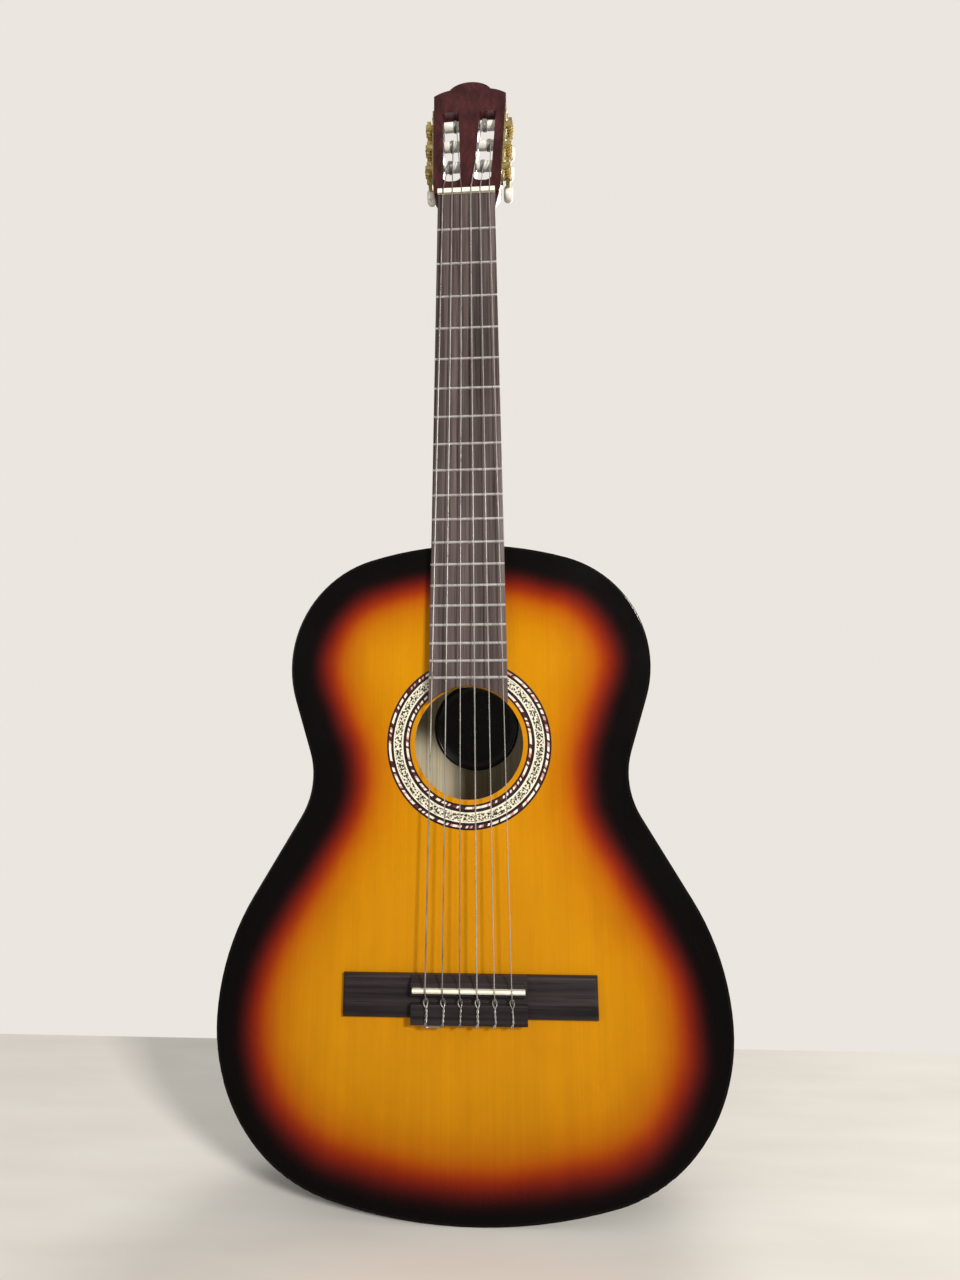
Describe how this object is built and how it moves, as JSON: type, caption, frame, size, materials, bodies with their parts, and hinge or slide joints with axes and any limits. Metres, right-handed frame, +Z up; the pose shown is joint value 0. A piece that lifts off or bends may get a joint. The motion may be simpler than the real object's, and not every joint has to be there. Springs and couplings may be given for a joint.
{
  "type": "classical guitar",
  "caption": "Six-string classical guitar with a hollow waisted body, fan bracing, fretted neck, slotted head and worm-geared tuning machines.",
  "frame": {"origin": "middle of the tail end of the body, in the plane of the soundboard's outer face", "axes": "+Z up the neck to the head, +Y from the soundboard to the back, +X to the treble side"},
  "size_m": [0.3698, 0.1117, 0.9829],
  "materials": {
    "sunburst_spruce": "gloss sunburst lacquer over spruce",
    "rosette_inlay": "wood mosaic inlay under gloss lacquer",
    "black_gloss_wood": "black gloss lacquer",
    "brace_spruce": "raw spruce",
    "label_paper": "plain black card disc, left blank",
    "rosewood": "satin open-grained rosewood",
    "neck_mahogany": "satin dark red-brown lacquer",
    "bone_white": "polished cream white",
    "fret_silver": "polished nickel silver",
    "wound_string": "silver-plated winding",
    "clear_string": "clear monofilament",
    "gold_plate": "polished gold plating",
    "screw_steel": "plated steel",
    "roller_white": "smooth white plastic",
    "pearl_button": "pearl-white plastic"
  },
  "bodies": {
    "guitar": {"soundboard": "sunburst_spruce", "rosette": "rosette_inlay", "back": "black_gloss_wood", "side_bass": "black_gloss_wood", "side_treble": "black_gloss_wood", "bindings": "black_gloss_wood", "top_linings": "brace_spruce", "back_linings": "brace_spruce", "neck_block": "brace_spruce", "tail_block": "brace_spruce", "soundboard_braces": "brace_spruce", "back_braces": "brace_spruce", "label": "label_paper", "bridge": "rosewood", "saddle": "bone_white", "neck": "neck_mahogany", "headstock": "neck_mahogany", "head_veneer": "neck_mahogany", "fingerboard": "rosewood", "frets": "fret_silver", "nut": "bone_white", "string_1": "clear_string", "string_2": "clear_string", "string_3": "clear_string", "string_4": "wound_string", "string_5": "wound_string", "string_6": "wound_string", "tuner_plate_bass": "gold_plate", "tuner_plate_treble": "gold_plate", "plate_screws": "screw_steel"},
    "tuner_1_worm": {"worm_1": "gold_plate", "button_1": "pearl_button"},
    "tuner_1_roller": {"roller_1": "roller_white", "gear_1": "gold_plate", "gear_screw_1": "screw_steel"},
    "tuner_2_worm": {"worm_2": "gold_plate", "button_2": "pearl_button"},
    "tuner_2_roller": {"roller_2": "roller_white", "gear_2": "gold_plate", "gear_screw_2": "screw_steel"},
    "tuner_3_worm": {"worm_3": "gold_plate", "button_3": "pearl_button"},
    "tuner_3_roller": {"roller_3": "roller_white", "gear_3": "gold_plate", "gear_screw_3": "screw_steel"},
    "tuner_4_worm": {"worm_4": "gold_plate", "button_4": "pearl_button"},
    "tuner_4_roller": {"roller_4": "roller_white", "gear_4": "gold_plate", "gear_screw_4": "screw_steel"},
    "tuner_5_worm": {"worm_5": "gold_plate", "button_5": "pearl_button"},
    "tuner_5_roller": {"roller_5": "roller_white", "gear_5": "gold_plate", "gear_screw_5": "screw_steel"},
    "tuner_6_worm": {"worm_6": "gold_plate", "button_6": "pearl_button"},
    "tuner_6_roller": {"roller_6": "roller_white", "gear_6": "gold_plate", "gear_screw_6": "screw_steel"}
  },
  "joints": [
    {"name": "tuner_1_button_turn", "type": "hinge", "parent": "guitar", "child": "tuner_1_worm", "pos_m": [0.03919, 0.0304, 0.87547], "axis": [0, 0.9537, -0.3007], "continuous": true},
    {"name": "tuner_1_roller_turn", "type": "hinge", "parent": "guitar", "child": "tuner_1_roller", "pos_m": [0.03955, 0.0331, 0.88403], "axis": [0.9992, -0.0121, -0.0382], "continuous": true},
    {"name": "tuner_2_button_turn", "type": "hinge", "parent": "guitar", "child": "tuner_2_worm", "pos_m": [0.0378, 0.02002, 0.84256], "axis": [0, 0.9537, -0.3007], "continuous": true},
    {"name": "tuner_2_roller_turn", "type": "hinge", "parent": "guitar", "child": "tuner_2_roller", "pos_m": [0.03816, 0.02272, 0.85113], "axis": [0.9992, -0.0121, -0.0382], "continuous": true},
    {"name": "tuner_3_button_turn", "type": "hinge", "parent": "guitar", "child": "tuner_3_worm", "pos_m": [0.04057, 0.04077, 0.90837], "axis": [0, 0.9537, -0.3007], "continuous": true},
    {"name": "tuner_3_roller_turn", "type": "hinge", "parent": "guitar", "child": "tuner_3_roller", "pos_m": [0.04093, 0.04347, 0.91694], "axis": [0.9992, -0.0121, -0.0382], "continuous": true},
    {"name": "tuner_4_button_turn", "type": "hinge", "parent": "guitar", "child": "tuner_4_worm", "pos_m": [-0.04057, 0.04077, 0.90837], "axis": [0, 0.9537, -0.3007], "continuous": true},
    {"name": "tuner_4_roller_turn", "type": "hinge", "parent": "guitar", "child": "tuner_4_roller", "pos_m": [-0.04093, 0.04347, 0.91694], "axis": [-0.9992, -0.0121, -0.0382], "continuous": true},
    {"name": "tuner_5_button_turn", "type": "hinge", "parent": "guitar", "child": "tuner_5_worm", "pos_m": [-0.03919, 0.0304, 0.87547], "axis": [0, 0.9537, -0.3007], "continuous": true},
    {"name": "tuner_5_roller_turn", "type": "hinge", "parent": "guitar", "child": "tuner_5_roller", "pos_m": [-0.03955, 0.0331, 0.88403], "axis": [-0.9992, -0.0121, -0.0382], "continuous": true},
    {"name": "tuner_6_button_turn", "type": "hinge", "parent": "guitar", "child": "tuner_6_worm", "pos_m": [-0.0378, 0.02002, 0.84256], "axis": [0, 0.9537, -0.3007], "continuous": true},
    {"name": "tuner_6_roller_turn", "type": "hinge", "parent": "guitar", "child": "tuner_6_roller", "pos_m": [-0.03816, 0.02272, 0.85113], "axis": [-0.9992, -0.0121, -0.0382], "continuous": true}
  ],
  "couplings": [
    {"joint": "tuner_1_roller_turn", "follows": "tuner_1_button_turn", "ratio": -0.071429},
    {"joint": "tuner_2_roller_turn", "follows": "tuner_2_button_turn", "ratio": -0.071429},
    {"joint": "tuner_3_roller_turn", "follows": "tuner_3_button_turn", "ratio": -0.071429},
    {"joint": "tuner_4_roller_turn", "follows": "tuner_4_button_turn", "ratio": -0.071429},
    {"joint": "tuner_5_roller_turn", "follows": "tuner_5_button_turn", "ratio": -0.071429},
    {"joint": "tuner_6_roller_turn", "follows": "tuner_6_button_turn", "ratio": -0.071429}
  ]
}
